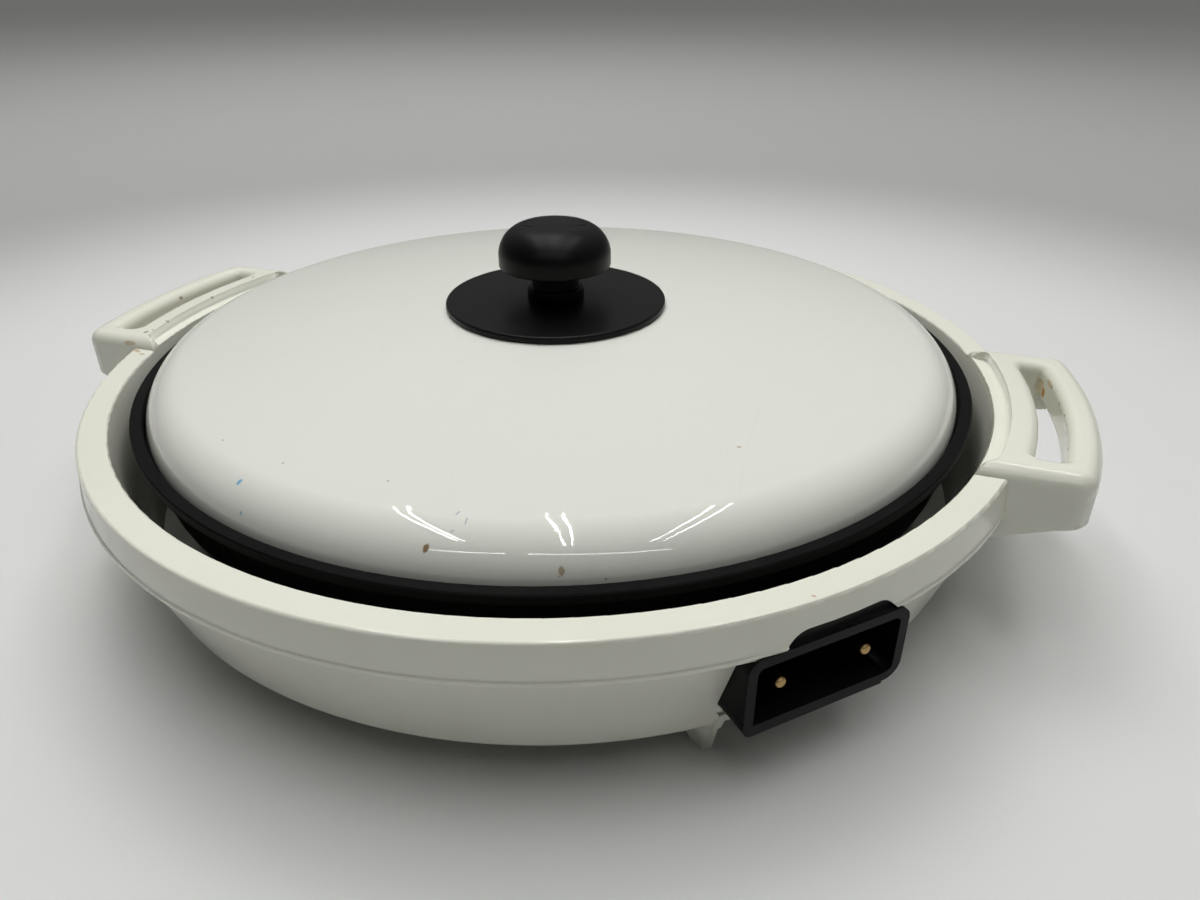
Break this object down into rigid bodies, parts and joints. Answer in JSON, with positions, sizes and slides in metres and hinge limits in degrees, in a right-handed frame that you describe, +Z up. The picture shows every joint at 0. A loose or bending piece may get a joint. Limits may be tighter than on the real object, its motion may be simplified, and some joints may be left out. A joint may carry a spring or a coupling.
{
  "type": "electric pizza maker",
  "caption": "Round countertop electric pizza maker: dark cast pan in a white double-walled body with side handles, an open two-pin inlet and a loose white lid with a black knob",
  "frame": {"origin": "middle of the footprint, on the surface it stands on", "axes": "+X through the right handle, the two handles lie along X; the inlet points between +X and -Y; +Z up through the lid's knob"},
  "size_m": [0.458, 0.4057, 0.132],
  "materials": {
    "white_plastic": "moulded off-white plastic, satin gloss",
    "white_enamel": "off-white vitreous enamel, glossy",
    "black_coating": "cast metal with a dark non-stick coat, matte and finely pebbled",
    "black_plastic": "black heat-resistant plastic",
    "brass_pin": "turned brass",
    "ceramic": "white ceramic",
    "sheath_steel": "dull steel tube",
    "bright_sheet": "bright sheet",
    "zinc_steel": "zinc-plated steel"
  },
  "bodies": {
    "root": {"rim_liner": "white_plastic", "base_shell": "white_plastic", "handle_right": "white_plastic", "handle_left": "white_plastic", "pan": "black_coating", "socket_shroud": "black_plastic", "socket_cover": "black_plastic", "terminal_pin_left": "brass_pin", "terminal_pin_right": "brass_pin", "terminal_insulators": "ceramic", "probe_sleeve": "brass_pin", "socket_screws": "zinc_steel", "heating_element": "sheath_steel", "element_clamps": "zinc_steel", "clamp_screws": "zinc_steel", "pan_spacers": "zinc_steel", "pan_screws": "zinc_steel", "reflector_plate": "bright_sheet", "liner_screws": "zinc_steel", "handle_screws": "zinc_steel"},
    "lid": {"lid_dome": "white_enamel", "knob_disc": "black_plastic", "lid_knob": "black_plastic", "knob_washer": "zinc_steel", "knob_screw": "zinc_steel"}
  },
  "joints": [
    {"name": "lid_lift", "type": "slide", "parent": "root", "child": "lid", "axis": [0, 0, 1], "range_m": [0, 0.12]}
  ]
}
